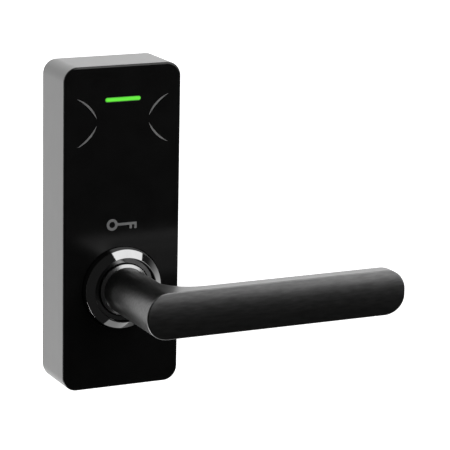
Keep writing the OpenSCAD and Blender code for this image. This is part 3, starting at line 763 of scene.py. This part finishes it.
def cover_piece():
    """Black front: rounded edge, openings for the rose and the light, and pockets for the inlays."""
    shell = Shell()
    rows = [raised(case_loop(BACK_BREAK), BAND_Z), raised(case_loop(0), BAND_Z + BACK_BREAK)]
    for inward, down in rounding(EDGE_R, steps=8):
        rows.append(raised(case_loop(inward), FRONT_Z - down))
    shell.grid(rows, closed=True)
    spigot = case_loop(WALL + SPIGOT_GAP)
    wall(shell, spigot, SEAT_Z, BAND_Z)
    shell.flat(case_loop(BACK_BREAK), [spigot], BAND_Z)
    openings = (rose_opening, light_opening)
    holes = [cover_opening(shell, opening) for opening in openings]
    holes += [inlay_pocket(shell, loop, []) for loop in crescent_loops()]
    key, bow = key_loops()
    holes.append(inlay_pocket(shell, key, [grown(bow, -GAP)]))
    shell.flat(case_loop(EDGE_R), holes, FRONT_Z)
    shell.flat(spigot, [opening(0) for opening in openings], SEAT_Z)
    shell.done("cover_face", "chassis", "cover_black", "front_cover")


def housing_piece():
    """Grey case: outer walls with rounded edges, the front web with its openings, and the inside."""
    shell = Shell()
    back = housing_low.z
    rows = [raised(case_loop(WALL), WEB_Z), raised(case_loop(WALL), back)]
    for up, inward in rounding(CASE_BACK_R, steps=5):
        rows.append(raised(case_loop(inward), back + up))
    for inward, down in rounding(CASE_FRONT_R, steps=5):
        rows.append(raised(case_loop(inward), BAND_Z - down))
    rows += [raised(case_loop(WALL), BAND_Z), raised(case_loop(WALL), SEAT_Z)]
    shell.grid(rows, closed=True)
    x, y = WINDOW_W / 2, WINDOW_H / 2
    window = [(x, WINDOW_CY + y), (-x, WINDOW_CY + y), (-x, WINDOW_CY - y), (x, WINDOW_CY - y)]
    seat = circle_loop(SEAT_HOLE_R, steps=96)
    for z in (WEB_Z, SEAT_Z):
        shell.flat(case_loop(WALL), [window, seat], z)
    for loop in (window, seat):
        wall(shell, loop, WEB_Z, SEAT_Z)
    shell.done("case_shell", "chassis", "case_grey", "housing")


def light_loop(grow):
    """The light bar's outline, widened by grow."""
    return stadium_loop(LIGHT_L + 2 * grow, LIGHT_H + 2 * grow, 0, LIGHT_CY)


def light_piece():
    """Light guide: the bar in the cover's slot, on its flange."""
    shell = Shell()
    flange = light_loop(LIGHT_FLANGE)
    step_z = SEAT_Z + LIGHT_STEP
    rows = [raised(flange, light_low.z), raised(flange, step_z), raised(light_loop(0), step_z)]
    for inward, down in rounding(LIGHT_R, steps=4):
        rows.append(raised(light_loop(-inward), FRONT_Z - down))
    shell.grid(rows, closed=True)
    shell.flat([p[:2] for p in rows[-1]], [], FRONT_Z)
    shell.flat(flange, [], light_low.z)
    shell.done("light_bar", "chassis", "status_light", "light_pipe")


def inlay(shell, loop, holes):
    """Thin plate level with the front."""
    for edge in (loop, *holes):
        wall(shell, edge, FRONT_Z - POCKET, FRONT_Z)
    for z in (FRONT_Z - POCKET, FRONT_Z):
        shell.flat(loop, holes, z)


def marks_piece():
    shell = Shell()
    for loop in crescent_loops():
        inlay(shell, loop, [])
    shell.done("mark_inlays", "chassis", "mark_grey", "reader_marks")


def key_piece():
    shell = Shell()
    key, bow = key_loops()
    inlay(shell, key, [bow])
    shell.done("key_inlay", "chassis", "mark_grey", "key_mark")


lever_piece()
ring_piece()
collar_piece()
cover_piece()
housing_piece()
light_piece()
marks_piece()
key_piece()


# ---------------------------------------------------------------- carried-over CAD nodes

SLOTS = {part["node"]: part["material_slot"] for part in frame["record"]["subparts"]}
BROKEN_EDGE = 0.12         # width of the chamfer on their edges


def dress_nodes():
    """Gives each CAD node that still shows its slot's material and fine broken edges."""
    for name, node in frame["nodes"].items():
        if node.hide_render:
            continue
        node.data.materials.clear()
        node.data.materials.append(MATERIALS[SLOTS[name]])
        bevel = node.modifiers.new("broken_edges", "BEVEL")
        bevel.width = BROKEN_EDGE * MM
        bevel.segments = 2
        bevel.limit_method = "ANGLE"
        bevel.angle_limit = math.radians(SHARP_ANGLE)
        bevel.harden_normals = True


dress_nodes()


# ---------------------------------------------------------------- camera, lights and floor

CAMERA_AZIMUTH = -25.50    # degrees
CAMERA_ELEVATION = 13.72
CAMERA_ROLL = 1.07
CAMERA_DISTANCE = 1.2188   # metres
CAMERA_LENS = 202.5
CAMERA_AIM = (54.15, CASE_CY - 3.56, 26.9)
LIGHT_AIM = Vector((0, 0, 0.03))
FRONT_DIM = 0.02           # radiance of the room in front of the door
WORLD_TURN = 6             # degrees by which the bright side behind is turned to the right
WORLD_FADE = 0.45          # cosine of the angle from straight behind within which it is full
FLOOR_Z = -1.05
FLOOR_HALF = 9.0           # half the floor's side
FLOOR_GLOW = 1.0           # the floor's own brightness


def make_camera():
    data = bpy.data.cameras.new("camera")
    data.lens = CAMERA_LENS
    data.sensor_width = 36.0
    data.clip_start = 0.05
    data.clip_end = 50.0
    camera = bpy.data.objects.new("camera", data)
    bpy.context.scene.collection.objects.link(camera)
    a, e = math.radians(CAMERA_AZIMUTH), math.radians(CAMERA_ELEVATION)
    roll = math.radians(CAMERA_ROLL)
    back = Vector((math.sin(a) * math.cos(e), -math.cos(a) * math.cos(e), math.sin(e)))
    right = Vector((math.cos(a), math.sin(a), 0.0))
    up = back.cross(right)
    place = to_row(CAMERA_AIM) + back * CAMERA_DISTANCE
    turned_right = right * math.cos(roll) + up * math.sin(roll)
    turned_up = up * math.cos(roll) - right * math.sin(roll)
    camera.matrix_world = Matrix((
        (turned_right.x, turned_up.x, back.x, place.x),
        (turned_right.y, turned_up.y, back.y, place.y),
        (turned_right.z, turned_up.z, back.z, place.z),
        (0, 0, 0, 1)))
    bpy.context.scene.camera = camera


def softbox(name, lon, lat, distance, width, height, radiance):
    """Rectangular soft light that faces LIGHT_AIM. lon and lat are the direction it is seen in from
    there: lon 0 is straight out of the door and 90 to the right. radiance 1 mirrors as full white."""
    data = bpy.data.lights.new(name, "AREA")
    data.shape = "RECTANGLE"
    data.size = width
    data.size_y = height
    data.energy = radiance * width * height * math.pi
    light = bpy.data.objects.new(name, data)
    bpy.context.scene.collection.objects.link(light)
    a, e = math.radians(lon), math.radians(lat)
    away = Vector((math.sin(a) * math.cos(e), -math.cos(a) * math.cos(e), math.sin(e)))
    light.location = LIGHT_AIM + away * distance
    light.rotation_euler = away.to_track_quat("Z", "Y").to_euler()
    light.visible_camera = False


def make_world():
    """White to the camera; to everything else white behind the door and dim in front of it."""
    world = bpy.data.worlds.new("studio")
    bpy.context.scene.world = world
    world.use_nodes = True
    tree = world.node_tree
    background = tree.nodes["Background"]
    where = tree.nodes.new("ShaderNodeTexCoord")
    behind = tree.nodes.new("ShaderNodeVectorMath")
    behind.operation = "DOT_PRODUCT"
    turn = math.radians(WORLD_TURN)
    behind.inputs[1].default_value = (math.sin(turn), math.cos(turn), 0.0)
    link(tree, where, "Generated", behind, 0)
    ramp = tree.nodes.new("ShaderNodeMapRange")
    ramp.interpolation_type = "SMOOTHSTEP"
    ramp.inputs["From Min"].default_value = 0.0
    ramp.inputs["From Max"].default_value = WORLD_FADE
    ramp.inputs["To Min"].default_value = FRONT_DIM
    ramp.inputs["To Max"].default_value = 1.0
    link(tree, behind, "Value", ramp, "Value")
    path = tree.nodes.new("ShaderNodeLightPath")
    either = math_node(tree, "MAXIMUM")
    link(tree, path, "Is Camera Ray", either, 0)
    link(tree, ramp, "Result", either, 1)
    link(tree, either, "Value", background, "Strength")
    background.inputs["Color"].default_value = (1, 1, 1, 1)


def make_floor():
    """Plain pale floor, well below the trim, as it is below a door's handle. Only the camera sees
    it, so that the trim mirrors the studio and not the floor's edge."""
    bm = bmesh.new()
    bmesh.ops.create_grid(bm, x_segments=6, y_segments=6, size=FLOOR_HALF)
    mesh = bpy.data.meshes.new("floor")
    bm.to_mesh(mesh)
    bm.free()
    floor = bpy.data.objects.new("floor", mesh)
    floor.location = (0.0, 0.0, FLOOR_Z)
    floor.visible_diffuse = False
    floor.visible_glossy = False
    floor.visible_shadow = False
    bpy.context.scene.collection.objects.link(floor)
    made, _, shader = new_material("floor_pale")
    shader.inputs["Base Color"].default_value = (0.8, 0.8, 0.8, 1)
    shader.inputs["Emission Color"].default_value = (1, 1, 1, 1)
    shader.inputs["Emission Strength"].default_value = FLOOR_GLOW
    floor.data.materials.append(made)


make_camera()
make_world()
make_floor()
softbox("main_box", lon=46, lat=37, distance=1.6, width=1.55, height=2.3, radiance=1.75)
softbox("left_box", lon=-125, lat=-55, distance=1.2, width=1.3, height=0.7, radiance=2.4)
softbox("right_box", lon=135, lat=35, distance=1.2, width=0.8, height=0.8, radiance=0.8)
softbox("fill_box", lon=80, lat=-75, distance=0.9, width=0.5, height=0.6, radiance=0.4)

view = bpy.context.scene.view_settings
view.view_transform = "Standard"
